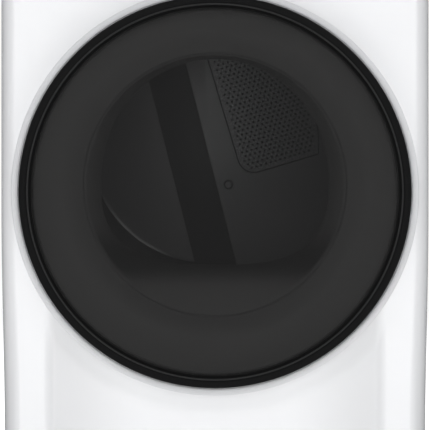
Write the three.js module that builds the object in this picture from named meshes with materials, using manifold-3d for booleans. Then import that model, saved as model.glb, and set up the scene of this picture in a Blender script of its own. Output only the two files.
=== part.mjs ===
// A full-size front-loading clothes dryer with a round smoked door.
// Millimetres. X runs to the right, Y to the back, Z up; the floor is Z = 0.
import * as THREE from "three";
import { mergeVertices } from "three/addons/utils/BufferGeometryUtils.js";
import Module from "manifold-3d";

const wasm = await Module();
wasm.setup();

// Cabinet
const WIDTH = 711;
const HEIGHT = 1010;
const SHEET = 1.5;
const CORNER_RADIUS = 23;
const PANEL_FRONT = -345;
const REAR_SHEET = 372;
const SKIRT = 28;
const CONSOLE_BOTTOM = 906.5;
const TOP_BOTTOM = 986;
const CONSOLE_FRONT = -352;

// Door and the well that it closes
const DOOR_Z = 560;
const DOOR_RADIUS = 322;
const DOOR_FRONT = -406;
const DOOR_BACK = -352;
const COVER_RADIUS = 299.5;
const HINGE_X = 309;
const HINGE_Y = -379;
const SWITCH_OFFSET = 216.4;
const LINER_Z = 571.5;
const WINDOW_Z = 583;

// Drum and what carries it
const DRUM_Z = 565;
const DRUM_RADIUS = 328;
const DRUM_FRONT = -232;
const DRUM_REAR = 292;
const THROAT_RADIUS = 245;
const BULKHEAD_FRONT = 300;
const PAD_FRONT = 288;
const PAD_RADIUS = 226.7;
const PAD_X = -13.3;
const PAD_Z = 648.7;
const ROLLER_RADIUS = 38;
const ROLLER_X = 210.2;
const ROLLER_Z = 264.8;

// Drive and air path under the drum
const MOTOR_X = -130;
const MOTOR_Z = 135;
const PULLEY_RADIUS = 10;
const BELT_FRONT = 51;
const BELT_WIDTH = 8;
const IDLER_X = -205;
const IDLER_Z = 170;
const IDLER_RADIUS = 20;
const ARM_X = -150;
const ARM_Z = 66;
const EXHAUST_Z = 102;
const EXHAUST_RADIUS = 50.8;
const EXHAUST_END = 406;

const BUTTON_Z = 946;
const BUTTONS = { power_button: -300, option_button_1: 235, option_button_2: 275, start_button: 315 };

const dryer = new THREE.Group();

function add(name, geometry, colour, roughness, metalness) {
  const material = new THREE.MeshStandardMaterial({ color: colour, roughness, metalness });
  const mesh = new THREE.Mesh(geometry, material);
  mesh.name = name;
  dryer.add(mesh);
}

// Solids for the boolean work, and back again.
function solid(geometry) {
  const loose = geometry.index ? geometry.toNonIndexed() : geometry;
  const bare = new THREE.BufferGeometry().setAttribute("position", loose.getAttribute("position"));
  const merged = mergeVertices(bare, 1e-3);
  const mesh = new wasm.Mesh({
    numProp: 3,
    vertProperties: merged.getAttribute("position").array,
    triVerts: new Uint32Array(merged.index.array),
  });
  return new wasm.Manifold(mesh);
}

function plain(body) {
  const mesh = body.getMesh();
  const geometry = new THREE.BufferGeometry();
  geometry.setAttribute("position", new THREE.BufferAttribute(new Float32Array(mesh.vertProperties), 3));
  geometry.setIndex(new THREE.BufferAttribute(new Uint32Array(mesh.triVerts), 1));
  const loose = geometry.toNonIndexed();
  loose.computeVertexNormals();
  return loose;
}

function join(...geometries) {
  return plain(geometries.map(solid).reduce((all, next) => all.add(next)));
}

function cut(geometry, ...tools) {
  return plain(tools.map(solid).reduce((all, next) => all.subtract(next), solid(geometry)));
}

// Outlines drawn in X and Z are extruded from y0 to y1.
function alongY(shape, y0, y1, curveSegments = 16) {
  const geometry = new THREE.ExtrudeGeometry(shape, { depth: y1 - y0, bevelEnabled: false, curveSegments });
  return geometry.rotateX(Math.PI / 2).translate(0, y1, 0);
}

// Outlines drawn in X and Y are extruded from z0 to z1.
function alongZ(shape, z0, z1, curveSegments = 5) {
  const geometry = new THREE.ExtrudeGeometry(shape, { depth: z1 - z0, bevelEnabled: false, curveSegments });
  return geometry.translate(0, 0, z0);
}

function box(x0, x1, y0, y1, z0, z1) {
  const geometry = new THREE.BoxGeometry(x1 - x0, y1 - y0, z1 - z0);
  return geometry.translate((x0 + x1) / 2, (y0 + y1) / 2, (z0 + z1) / 2);
}

// A profile of [radius, y] pairs turned round a line that runs front to back.
function turned(profile, x, z, segments = 48) {
  let area = 0;
  profile.forEach(([r, y], i) => {
    const [r2, y2] = profile[(i + 1) % profile.length];
    area += r * y2 - r2 * y;
  });
  const ordered = area > 0 ? profile : [...profile].reverse();
  const onAxis = ordered.some(([r]) => r === 0);
  while (onAxis && !(ordered[0][0] === 0 && ordered[ordered.length - 1][0] === 0)) ordered.push(ordered.shift());
  const points = ordered.map(([r, y]) => new THREE.Vector2(r, y));
  if (!onAxis) points.push(points[0].clone());
  return new THREE.LatheGeometry(points, segments).translate(x, 0, z);
}

function rod(x, z, radius, y0, y1, segments = 48) {
  return turned([[0, y0], [radius, y0], [radius, y1], [0, y1]], x, z, segments);
}

function upright(x, y, radius, z0, z1, segments = 16) {
  const geometry = new THREE.CylinderGeometry(radius, radius, z1 - z0, segments);
  return geometry.rotateX(Math.PI / 2).translate(x, y, (z0 + z1) / 2);
}

function outline(points) {
  return new THREE.Shape(points.map(([u, v]) => new THREE.Vector2(u, v)));
}

function rectangle(u0, u1, v0, v1) {
  return outline([[u0, v0], [u1, v0], [u1, v1], [u0, v1]]);
}

function roundedRectangle(u0, u1, v0, v1, radius) {
  const shape = new THREE.Shape();
  shape.absarc(u1 - radius, v0 + radius, radius, -Math.PI / 2, 0);
  shape.absarc(u1 - radius, v1 - radius, radius, 0, Math.PI / 2);
  shape.absarc(u0 + radius, v1 - radius, radius, Math.PI / 2, Math.PI);
  shape.absarc(u0 + radius, v0 + radius, radius, Math.PI, 1.5 * Math.PI);
  return shape;
}

function circleHole(x, z, radius) {
  return new THREE.Path().absarc(x, z, radius, 0, 2 * Math.PI, true);
}

// Part of a flat ring between two angles, measured from straight down.
function ringSector(x, z, inner, outer, halfAngle) {
  const down = -Math.PI / 2;
  const shape = new THREE.Shape();
  shape.absarc(x, z, outer, down - halfAngle, down + halfAngle, false);
  shape.absarc(x, z, inner, down + halfAngle, down - halfAngle, true);
  return shape;
}

// The window outline: a flattened oval below its widest line and a round arch above it.
function windowOutline(grow) {
  const points = [];
  for (let i = 0; i < 40; i += 1) {
    const angle = (i / 40) * 2 * Math.PI;
    const c = Math.cos(angle);
    const s = Math.sin(angle);
    const power = s < 0 ? 2 / 2.9 : 1;
    const half = 190 + grow;
    const rise = (s < 0 ? 144 : 193) + grow;
    points.push([half * Math.sign(c) * Math.abs(c) ** power, WINDOW_Z + rise * Math.sign(s) * Math.abs(s) ** power]);
  }
  return outline(points);
}

function convexHull(points) {
  const sorted = [...points].sort((p, q) => p[0] - q[0] || p[1] - q[1]);
  const turn = (o, p, q) => (p[0] - o[0]) * (q[1] - o[1]) - (p[1] - o[1]) * (q[0] - o[0]);
  const chain = (list) => {
    const kept = [];
    for (const point of list) {
      while (kept.length > 1 && turn(kept[kept.length - 2], kept[kept.length - 1], point) <= 0) kept.pop();
      kept.push(point);
    }
    return kept.slice(0, -1);
  };
  return [...chain(sorted), ...chain(sorted.reverse())];
}

// Cabinet sheet metal -------------------------------------------------------

function frontPanel() {
  const half = WIDTH / 2;
  const wrap = (inset) => {
    const x = half - inset;
    const y = PANEL_FRONT + inset;
    const r = CORNER_RADIUS - inset;
    const points = [];
    for (let i = 0; i <= 6; i += 1) {
      const angle = (i / 6) * (Math.PI / 2);
      points.push([-x + r - r * Math.cos(angle), y + r - r * Math.sin(angle)]);
    }
    return [[-x, -300], ...points, ...points.map(([u, v]) => [-u, v]).reverse(), [x, -300]];
  };
  const section = outline([...wrap(0), ...wrap(SHEET).reverse()]);
  const opening = rod(0, DOOR_Z, 336, PANEL_FRONT - 10, PANEL_FRONT + 20);
  add("front_panel", cut(alongZ(section, SKIRT, CONSOLE_BOTTOM - 0.5), opening), 0xf4f4f6, 0.3, 0);
}

function sidePanels() {
  for (const [name, side] of [["left_side_panel", -1], ["right_side_panel", 1]]) {
    const outer = side * 353.5;
    const inner = side * 352.2;
    const lip = side * 340;
    const rear = REAR_SHEET - 0.4;
    const points = [[outer, -318], [outer, rear], [lip, rear], [lip, rear - 1.3], [inner, rear - 1.3], [inner, -318]];
    add(name, alongZ(outline(points), SKIRT, TOP_BOTTOM - 0.5), 0xf2f2f4, 0.35, 0);
  }
}

function topPanel() {
  const half = WIDTH / 2;
  const shell = alongZ(roundedRectangle(-half, half, CONSOLE_FRONT, 374, 14), TOP_BOTTOM, HEIGHT);
  const under = alongZ(roundedRectangle(2 - half, half - 2, CONSOLE_FRONT + 2, 372, 12), TOP_BOTTOM - 1, HEIGHT - 2);
  add("top_panel", cut(shell, under), 0xf4f4f6, 0.3, 0);
}

function rearPanel() {
  const shape = rectangle(-353.5, 353.5, SKIRT, TOP_BOTTOM - 0.5);
  shape.holes.push(circleHole(0, EXHAUST_Z, EXHAUST_RADIUS + 1.6), circleHole(-290, 900, 14));
  const outletRim = new THREE.Shape();
  outletRim.absarc(0, EXHAUST_Z, EXHAUST_RADIUS + 5, 0, 2 * Math.PI, false);
  outletRim.holes.push(circleHole(0, EXHAUST_Z, EXHAUST_RADIUS + 1.6));
  const cableRim = new THREE.Shape();
  cableRim.absarc(-290, 900, 17.5, 0, 2 * Math.PI, false);
  cableRim.holes.push(circleHole(-290, 900, 14));
  const sheet = join(
    alongY(shape, REAR_SHEET, REAR_SHEET + SHEET),
    alongY(outletRim, REAR_SHEET - 2, REAR_SHEET + SHEET + 2),
    alongY(cableRim, REAR_SHEET - 2, REAR_SHEET + SHEET + 2),
  );
  add("rear_panel", sheet, 0xc9ccd0, 0.45, 0.6);
}

function basePan() {
  const tray = box(-346, 346, -335, 369, 25.3, 46);
  const holes = [];
  for (const x of [-300, 300]) {
    for (const y of [-290, 320]) holes.push(upright(x, y, 7, 20, 30, 10));
  }
  add("base_pan", cut(tray, box(-344, 344, -333, 367, 27.3, 50), ...holes), 0xb9bcc0, 0.5, 0.6);
}

function feet() {
  for (const [side, x] of [["left", -300], ["right", 300]]) {
    for (const [end, y] of [["front", -290], ["rear", 320]]) {
      const profile = [[0, 0], [20, 0], [22, 3], [22, 10], [12, 13], [12, 20], [5, 20], [5, 58], [0, 58]];
      const points = profile.map(([r, z]) => new THREE.Vector2(r, z));
      const foot = new THREE.LatheGeometry(points, 14).rotateX(Math.PI / 2).translate(x, y, 0);
      add(`foot_${end}_${side}`, foot, 0x2a2a2c, 0.8, 0);
    }
  }
}

// Control console -----------------------------------------------------------

function controlConsole() {
  const low = CONSOLE_BOTTOM;
  const high = TOP_BOTTOM - 0.5;
  const face = rectangle(-355, 355, low, high);
  face.holes.push(circleHole(0, BUTTON_Z, 9));
  for (const x of Object.values(BUTTONS)) face.holes.push(circleHole(x, BUTTON_Z, 11.5));
  face.holes.push(new THREE.Path(rectangle(88, 202, 923, 969).getPoints()));
  const shell = join(
    alongY(face, CONSOLE_FRONT, CONSOLE_FRONT + 3, 8),
    box(-351.5, 351.5, CONSOLE_FRONT + 2, -300, high - 3, high),
    box(-355, 355, CONSOLE_FRONT + 2, PANEL_FRONT + 3, low, low + 3),
    box(-355, -352, CONSOLE_FRONT + 2, -321, low, high),
    box(352, 355, CONSOLE_FRONT + 2, -321, low, high),
  );
  add("control_console", shell, 0xf0f0f2, 0.4, 0);
  add("display_window", box(88.4, 201.6, -351.6, -349.4, 923.4, 968.6), 0x101214, 0.1, 0);
  add("control_board", box(-40, 340, -334, -332, 914, 978), 0x1f5a38, 0.6, 0);
}

function buttonsAndKnob() {
  for (const [name, x] of Object.entries(BUTTONS)) {
    const profile = [[0, -355], [9.5, -355], [11, -353.5], [11, -348.6], [13.5, -348.6], [13.5, -346.6]];
    profile.push([4, -346.6], [4, -336.6], [0, -336.6]);
    add(name, turned(profile, x, BUTTON_Z, 14), 0xd5d7da, 0.35, 0);
  }
  const grip = [[0, -376], [21, -376], [23, -374], [25, -356], [27, -353.5], [27, -352.4], [8.6, -352.4]];
  const knob = turned([...grip, [8.6, -341], [0, -341]], 0, BUTTON_Z, 24);
  const pointer = box(-1.2, 1.2, -377, -370, BUTTON_Z + 4, BUTTON_Z + 20);
  add("cycle_knob", join(knob, pointer), 0xc8cacd, 0.3, 0.5);
}

// Door well, hinge and catch ------------------------------------------------

function doorWell() {
  add("door_collar", turned([[326, -352], [335.6, -352], [335.6, -340], [326, -340]], 0, DOOR_Z), 0xd9dadd, 0.3, 0);
  const front = [[325.6, -345], [291, -345], [251, -299.5]];
  const back = [[253, -299.5], [292, -343.5], [325.6, -343.5]];
  const well = turned([...front, ...back], 0, DOOR_Z);
  const strikeHole = box(-319, -298, -350, -340, DOOR_Z - 13, DOOR_Z + 13);
  const plungerHole = rod(-SWITCH_OFFSET, DOOR_Z - SWITCH_OFFSET, 4.6, -350, -340, 14);
  add("door_well", cut(well, strikeHole, plungerHole), 0xe6e7ea, 0.35, 0);
}

function hinge() {
  const base = box(294, 314, -347.4, -345.4, DOOR_Z - 60, DOOR_Z + 60);
  const pieces = [];
  for (const side of [-1, 1]) {
    const low = DOOR_Z + side * 35 - 13;
    pieces.push(box(HINGE_X - 3, HINGE_X + 3, HINGE_Y, -346, low, low + 26));
    pieces.push(upright(HINGE_X, HINGE_Y, 6, low, low + 26));
  }
  const bore = upright(HINGE_X, HINGE_Y, 3.4, DOOR_Z - 70, DOOR_Z + 70);
  add("hinge_bracket", cut(join(base, ...pieces), bore), 0xb4b6ba, 0.35, 0.9);
  add("hinge_pin", upright(HINGE_X, HINGE_Y, 3, DOOR_Z - 74, DOOR_Z + 74), 0xc6c8cc, 0.3, 1);
}

function catchAndSwitch() {
  const catchBlock = box(-322, -295, -343.2, -318, DOOR_Z - 20, DOOR_Z + 20);
  const pocket = box(-317.5, -299.5, -350, -322, DOOR_Z - 12, DOOR_Z + 12);
  add("door_catch", cut(catchBlock, pocket), 0x303236, 0.5, 0);
  const hook = join(
    box(-313, -303, -351.6, -349, DOOR_Z - 10, DOOR_Z + 10),
    box(-310, -306, -350, -336, DOOR_Z - 8, DOOR_Z + 8),
    box(-310, -303.6, -340, -336, DOOR_Z - 8, DOOR_Z + 8),
  );
  add("door_strike", hook, 0xc6c8cc, 0.3, 1);
  const x = -SWITCH_OFFSET;
  const z = DOOR_Z - SWITCH_OFFSET;
  const housing = box(x - 9, x + 9, -343.2, -322, z - 9, z + 9);
  add("door_switch", cut(housing, rod(x, z, 4.6, -350, -327, 14)), 0x303236, 0.5, 0);
  add("switch_plunger", rod(x, z, 4, -351.5, -334, 14), 0xe8e8ea, 0.4, 0);
}

// Door ----------------------------------------------------------------------

function door() {
  const section = [[300, -404], [303, -406], [318, -406], [322, -401], [322, -352], [300, -352]];
  const notch = box(302, 335, -392, -345, DOOR_Z - 60, DOOR_Z + 60);
  const bore = upright(HINGE_X, HINGE_Y, 3.3, DOOR_Z - 76, DOOR_Z + 76);
  add("door_ring", cut(turned(section, 0, DOOR_Z), notch, bore), 0x141414, 0.12, 0);
  add("door_cover", rod(0, DOOR_Z, COVER_RADIUS, -402, -398), 0x2c2c2e, 0.05, 0);

  const flange = rod(0, DOOR_Z, COVER_RADIUS, -364, -361);
  const mouth = rod(0, LINER_Z, 215, -370, -355);
  const funnel = turned([[216, -364], [213, -290], [210.5, -290], [213.5, -364]], 0, LINER_Z);
  const end = cut(rod(0, LINER_Z, 213, -290, -287), alongY(windowOutline(0), -295, -280));
  add("door_liner", join(cut(flange, mouth), funnel, end), 0x3a3a3c, 0.4, 0);
  add("inner_window", alongY(windowOutline(5), -294.4, -290.4), 0x9aa4a8, 0.05, 0);
  const seal = [[266, -360.6], [284, -360.6], [278, -341], [270, -341]];
  add("door_gasket", turned(seal, 0, DOOR_Z), 0x26262a, 0.9, 0);
}

// Bulkheads and drum --------------------------------------------------------

function frontBulkhead() {
  const r = THROAT_RADIUS;
  const section = [[r, -299], [340, -299], [340, -297.5], [r + 1.5, -297.5], [r + 1.5, -236], [r, -236]];
  const slot = box(-132, 132, -272, -252, 300, 366);
  add("front_bulkhead", cut(turned(section, 0, DRUM_Z), slot), 0xd2d4d8, 0.45, 0.3);
  const seal = [[r + 1.9, -238], [300, -238], [300, -232.4], [r + 1.9, -232.4]];
  add("front_felt_seal", turned(seal, 0, DRUM_Z), 0x8d8a84, 1, 0);
  for (const [name, y] of [["moisture_bar_front", -249], ["moisture_bar_rear", -242]]) {
    add(name, alongY(ringSector(0, DRUM_Z, 242, 244.1, 0.18), y, y + 3, 6), 0xc0c2c6, 0.3, 1);
  }
}

function drum() {
  const r = DRUM_RADIUS;
  const front = [[262, DRUM_FRONT], [r, DRUM_FRONT], [r, DRUM_REAR]];
  const inside = [[r - SHEET, DRUM_REAR], [r - SHEET, DRUM_FRONT + SHEET], [262, DRUM_FRONT + SHEET]];
  add("drum_shell", turned([...front, ...inside], 0, DRUM_Z), 0xc4c6c9, 0.4, 0.8);
  for (let i = 0; i < 3; i += 1) {
    const section = [[-35, -323], [35, -323], [22, -290], [13, -270], [7, -264], [-7, -264], [-13, -270], [-22, -290]];
    const lifter = alongY(outline(section), -205, 268);
    lifter.rotateY((i * 2 * Math.PI) / 3).translate(0, 0, DRUM_Z);
    add(`drum_lifter_${i + 1}`, lifter, 0xb9bbbe, 0.5, 0);
  }
}

function tiltedBox(width, y0, y1) {
  const channel = box(-width / 2, width / 2, y0, y1, -400, 400);
  return channel.rotateY((-14.2 * Math.PI) / 180).translate(-33, 0, DOOR_Z);
}

// The inlet opening: a quarter of the pad between two straight edges and the pad's own round.
function grilleOutline(inset) {
  const corner = [53.5, DOOR_Z + 29.6];
  const tilt = (16.7 * Math.PI) / 180;
  const along = [Math.cos(tilt), Math.sin(tilt)];
  const up = [-Math.sin(tilt), Math.cos(tilt)];
  const start = [corner[0] + (along[0] + up[0]) * inset, corner[1] + (along[1] + up[1]) * inset];
  const radius = 208 - inset;
  const reach = (direction) => {
    const x = start[0] - PAD_X;
    const z = start[1] - PAD_Z;
    const b = x * direction[0] + z * direction[1];
    return -b + Math.sqrt(b * b - (x * x + z * z - radius * radius));
  };
  const end = (direction) => [start[0] + direction[0] * reach(direction), start[1] + direction[1] * reach(direction)];
  const [right, top] = [end(along), end(up)];
  const from = Math.atan2(right[1] - PAD_Z, right[0] - PAD_X);
  const to = Math.atan2(top[1] - PAD_Z, top[0] - PAD_X);
  const points = [start];
  for (let i = 0; i <= 16; i += 1) {
    const angle = from + ((to - from) * i) / 16;
    points.push([PAD_X + radius * Math.cos(angle), PAD_Z + radius * Math.sin(angle)]);
  }
  return outline(points);
}

function rearBulkhead() {
  const inlet = alongY(grilleOutline(10), 280, 320);
  const sheet = box(-346, 346, BULKHEAD_FRONT, BULKHEAD_FRONT + SHEET, 222, 905);
  add("rear_bulkhead", cut(sheet, inlet), 0xa6a8ab, 0.4, 0.7);
  const backing = BULKHEAD_FRONT - 0.4;
  const pan = rod(PAD_X, PAD_Z, PAD_RADIUS, PAD_FRONT, backing);
  const hollow = cut(rod(PAD_X, PAD_Z, PAD_RADIUS - 2, PAD_FRONT + 2, 310), tiltedBox(80, 280, 320));
  const channel = tiltedBox(76, 280, backing - 2);
  const boss = turned([[5.5, 282], [9, 282], [9, PAD_FRONT + 1], [5.5, PAD_FRONT + 1]], 25.5, 573, 16);
  add("drum_back", cut(join(cut(pan, hollow, channel), boss), inlet), 0xa6a8ab, 0.4, 0.7);
  add("inlet_grille", alongY(grilleOutline(0), PAD_FRONT - 2, PAD_FRONT - 0.4), 0xacaeb1, 0.4, 0.7);
  const lens = [[0, 281], [8, 281.6], [14, 284], [16, 287], [16, 287.6], [0, 287.6]];
  add("lamp_lens", turned(lens, -165, 795, 20), 0xf2efe2, 0.2, 0);
  const seal = [[314, 292.4], [330, 292.4], [330, 299.6], [314, 299.6]];
  add("rear_felt_seal", turned(seal, 0, DRUM_Z), 0x8d8a84, 1, 0);
}

function rollers() {
  for (const [side, x] of [["left", -ROLLER_X], ["right", ROLLER_X]]) {
    const r = ROLLER_RADIUS;
    const wheel = [[6.4, 262], [14, 262], [r, 265], [r, 279], [14, 282], [6.4, 282]];
    add(`drum_roller_${side}`, turned(wheel, x, ROLLER_Z, 28), 0x3a3a3d, 0.8, 0);
    const axle = [[0, 257], [9, 257], [9, 261.4], [6, 261.4], [6, 283], [10, 283], [10, 299.6], [0, 299.6]];
    add(`roller_axle_${side}`, turned(axle, x, ROLLER_Z, 14), 0xb4b6ba, 0.35, 1);
  }
}

// Drive ---------------------------------------------------------------------

function motor() {
  const body = [[8, -110], [45, -110], [62, -95], [62, 15], [45, 30], [8, 30]];
  add("motor_housing", turned(body, MOTOR_X, MOTOR_Z, 28), 0x6c7076, 0.5, 0.7);
  const shaft = [[0, -215], [6, -215], [6, 48], [13, 48], [13, 50], [PULLEY_RADIUS, 50.5], [PULLEY_RADIUS, 59.5]];
  add("motor_shaft", turned([...shaft, [13, 60], [13, 62], [0, 62]], MOTOR_X, MOTOR_Z, 16), 0xc0c2c6, 0.3, 1);

  const saddle = new THREE.Shape();
  saddle.moveTo(MOTOR_X - 58, 27.6);
  saddle.lineTo(MOTOR_X + 58, 27.6);
  saddle.lineTo(MOTOR_X + 58, 103.8);
  saddle.absarc(MOTOR_X, MOTOR_Z, 62.4, -Math.PI / 6, (-5 * Math.PI) / 6, true);
  saddle.lineTo(MOTOR_X - 58, 103.8);
  const bracket = join(
    alongY(saddle, -92, -82, 10),
    alongY(saddle, 2, 12, 10),
    box(MOTOR_X - 58, MOTOR_X + 58, -83, 3, 27.6, 30.6),
    turned([[0, 11], [5, 11], [5, 63.6], [3, 63.6], [3, 69], [0, 69]], ARM_X, ARM_Z, 14),
  );
  add("motor_bracket", bracket, 0x9a9da1, 0.5, 0.7);
}

function belt() {
  const loop = (grow) => {
    const points = [];
    const wheels = [[0, DRUM_Z, DRUM_RADIUS, 72], [MOTOR_X, MOTOR_Z, PULLEY_RADIUS, 20], [IDLER_X, IDLER_Z, IDLER_RADIUS, 20]];
    for (const [x, z, radius, count] of wheels) {
      for (let i = 0; i < count; i += 1) {
        const angle = (i / count) * 2 * Math.PI;
        points.push([x + (radius + grow) * Math.cos(angle), z + (radius + grow) * Math.sin(angle)]);
      }
    }
    return convexHull(points);
  };
  const shape = outline(loop(2.4));
  shape.holes.push(outline(loop(0.8)));
  add("drum_belt", alongY(shape, BELT_FRONT, BELT_FRONT + BELT_WIDTH), 0x1c1c1e, 0.85, 0);
}

function idler() {
  const dx = IDLER_X - ARM_X;
  const dz = IDLER_Z - ARM_Z;
  const length = Math.hypot(dx, dz);
  const arm = new THREE.Shape();
  arm.absarc(0, 0, 10, Math.PI, 2 * Math.PI);
  arm.absarc(0, length, 8, 0, Math.PI);
  arm.holes.push(circleHole(0, 0, 3.4));
  const plate = alongY(arm, 64.4, 67.4, 8);
  plate.rotateY(Math.atan2(dx, dz)).translate(ARM_X, 0, ARM_Z);
  add("idler_arm", join(plate, rod(IDLER_X, IDLER_Z, 4, 48.4, 65, 14)), 0xb4b6ba, 0.4, 0.9);
  const r = IDLER_RADIUS;
  const wheel = [[4.4, 49.4], [r + 3, 49.4], [r, 50.8], [r, 59.2], [r + 3, 60.6], [4.4, 60.6]];
  add("idler_wheel", turned(wheel, IDLER_X, IDLER_Z, 24), 0x2e2e31, 0.6, 0);
}

// Air path ------------------------------------------------------------------

function lintFilter() {
  const inner = THROAT_RADIUS;
  const panel = new THREE.Shape();
  panel.moveTo(-124, 130);
  panel.lineTo(124, 130);
  const half = Math.asin(124 / 250);
  panel.absarc(0, DRUM_Z, 250, -Math.PI / 2 + half, -Math.PI / 2 - half, true);
  const windows = [-114, -36, 42].map((x) => box(x, x + 72, -270, -250, 142, 300));
  const screen = box(-120, 120, -262, -260, 136, 305);
  const handle = alongY(ringSector(0, DRUM_Z, inner + 0.4, inner + 8, 0.5), -271.4, -252.6, 12);
  add("lint_filter", join(cut(alongY(panel, -265, -257, 12), ...windows), screen, handle), 0x8f9296, 0.6, 0);
}

function airDucts() {
  const funnel = cut(
    box(-150, 150, -290, -240, 60, 390),
    box(-148, 148, -288, -242, 62, 400),
    rod(0, DRUM_Z, 247.6, -300, -230),
    rod(MOTOR_X, MOTOR_Z, 46, -250, -230, 28),
  );
  add("lint_duct", funnel, 0x55585c, 0.7, 0);

  const scroll = (inset) => {
    const r = 84 - inset;
    const top = EXHAUST_Z + 51 - inset;
    const shape = new THREE.Shape();
    shape.moveTo(56 - inset, MOTOR_Z - r);
    shape.lineTo(56 - inset, top);
    shape.absarc(MOTOR_X, MOTOR_Z, r, Math.asin((top - MOTOR_Z) / r), 1.5 * Math.PI);
    return shape;
  };
  const housing = cut(
    alongY(scroll(0), -239.6, -150),
    alongY(scroll(2.5), -237, -152.5),
    rod(MOTOR_X, MOTOR_Z, 46, -245, -230, 28),
    rod(MOTOR_X, MOTOR_Z, 12, -160, -140, 14),
    rod(0, EXHAUST_Z, 46.5, -160, -140, 28),
  );
  add("blower_housing", housing, 0x4a4d51, 0.7, 0);

  const blades = [];
  for (let i = 0; i < 10; i += 1) {
    const blade = box(-1, 1, -222, -166, 46, 71);
    blades.push(blade.rotateY((i * Math.PI) / 5).translate(MOTOR_X, 0, MOTOR_Z));
  }
  const plate = [[6.4, -200], [14, -200], [14, -168], [72, -168], [72, -165], [6.4, -165]];
  const rim = turned([[58, -223], [72, -223], [72, -221], [58, -221]], MOTOR_X, MOTOR_Z, 28);
  add("blower_wheel", join(turned(plate, MOTOR_X, MOTOR_Z, 28), rim, ...blades), 0xd8d9db, 0.6, 0);

  const [outer, inner] = [EXHAUST_RADIUS, EXHAUST_RADIUS - 1.2];
  const pipe = [[inner, -149.6], [outer, -149.6], [outer, EXHAUST_END], [inner, EXHAUST_END]];
  add("exhaust_duct", turned(pipe, 0, EXHAUST_Z, 36), 0xc0c2c6, 0.4, 0.9);

  const heater = cut(box(-30, 215, 302, 366, 585, 835), box(-28, 213, 300, 364, 587, 833));
  add("heater_housing", heater, 0xb0b3b7, 0.45, 0.9);
}

frontPanel();
sidePanels();
topPanel();
rearPanel();
basePan();
feet();
controlConsole();
buttonsAndKnob();
doorWell();
hinge();
catchAndSwitch();
door();
frontBulkhead();
drum();
rearBulkhead();
rollers();
motor();
belt();
idler();
lintFilter();
airDucts();

export default dryer;
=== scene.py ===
import math
import bpy
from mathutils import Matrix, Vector


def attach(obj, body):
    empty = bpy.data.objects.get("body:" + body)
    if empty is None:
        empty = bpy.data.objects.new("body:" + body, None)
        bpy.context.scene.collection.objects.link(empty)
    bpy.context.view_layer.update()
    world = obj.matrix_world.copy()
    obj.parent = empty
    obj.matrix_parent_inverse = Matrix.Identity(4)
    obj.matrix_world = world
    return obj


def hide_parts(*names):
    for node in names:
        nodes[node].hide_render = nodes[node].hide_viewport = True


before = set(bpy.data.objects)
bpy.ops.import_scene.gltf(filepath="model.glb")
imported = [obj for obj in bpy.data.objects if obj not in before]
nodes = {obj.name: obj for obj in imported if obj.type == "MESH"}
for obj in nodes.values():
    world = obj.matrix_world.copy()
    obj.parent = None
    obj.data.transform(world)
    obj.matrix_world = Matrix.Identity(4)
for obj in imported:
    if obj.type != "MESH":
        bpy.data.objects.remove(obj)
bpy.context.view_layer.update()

# Camera, floor and lamps ----------------------------------------------------
# The dryer is looked at straight on from the height of the door's centre, with a long lens. Soft lamps
# stand high and low in front, two more behind and one overhead. The floor is a pale sweep.

bpy.context.scene.view_settings.view_transform = "Standard"
eye = (0, -4.822, 0.563)
sensor = 36
width_seen, width_seen_from = 0.7135, 4.5
bpy.ops.object.camera_add(location=eye, rotation=(math.pi / 2, 0, 0))
camera = bpy.context.object
camera.data.sensor_width = sensor
camera.data.lens = sensor * width_seen_from / width_seen
camera.data.shift_y = -0.05814
camera.data.clip_end = 60
bpy.context.scene.camera = camera


def lamp(name, place, aim, width, height, power, glossy=True):
    bpy.ops.object.light_add(type="AREA", location=place)
    light = bpy.context.object
    light.name = name
    light.data.shape = "RECTANGLE"
    light.data.size = width
    light.data.size_y = height
    light.data.energy = power
    light.visible_glossy = glossy
    light.visible_camera = False
    light.rotation_euler = (light.location - Vector(aim)).to_track_quat("Z", "Y").to_euler()


lamp("top_softbox", (0, -5.8, 2.3), (0, -0.3, 0.4), 3.2, 2.0, 113, False)
lamp("front_fill", (0, -6.5, 0.1), (0, 0, 0.1), 3.0, 2.2, 201, False)
lamp("low_fill", (0, -2.0, 0.25), (0, -0.345, 0.06), 1.4, 0.3, 4.6, False)
lamp("left_rim", (-3.2, 4.2, 2.0), (0, 0, 0.5), 2.0, 2.0, 60, False)
lamp("right_rim", (3.2, 4.2, 2.0), (0, 0, 0.5), 2.0, 2.0, 60, False)
lamp("overhead", (0, 0.6, 4.4), (0, 0.2, 1.0), 2.0, 2.0, 60, False)

# a cool dim sky lights the room, and the camera sees it as white
world = bpy.context.scene.world or bpy.data.worlds.new("studio")
bpy.context.scene.world = world
world.use_nodes = True
tree = world.node_tree
tree.nodes.clear()
sky = tree.nodes.new("ShaderNodeBackground")
sky.inputs["Color"].default_value = (0.93, 0.95, 1.0, 1)
sky.inputs["Strength"].default_value = 0.15
backdrop = tree.nodes.new("ShaderNodeBackground")
backdrop.inputs["Color"].default_value = (1, 1, 1, 1)
ray = tree.nodes.new("ShaderNodeLightPath")
either = tree.nodes.new("ShaderNodeMixShader")
out = tree.nodes.new("ShaderNodeOutputWorld")
tree.links.new(ray.outputs["Is Camera Ray"], either.inputs[0])
tree.links.new(sky.outputs[0], either.inputs[1])
tree.links.new(backdrop.outputs[0], either.inputs[2])
tree.links.new(either.outputs[0], out.inputs[0])

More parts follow.
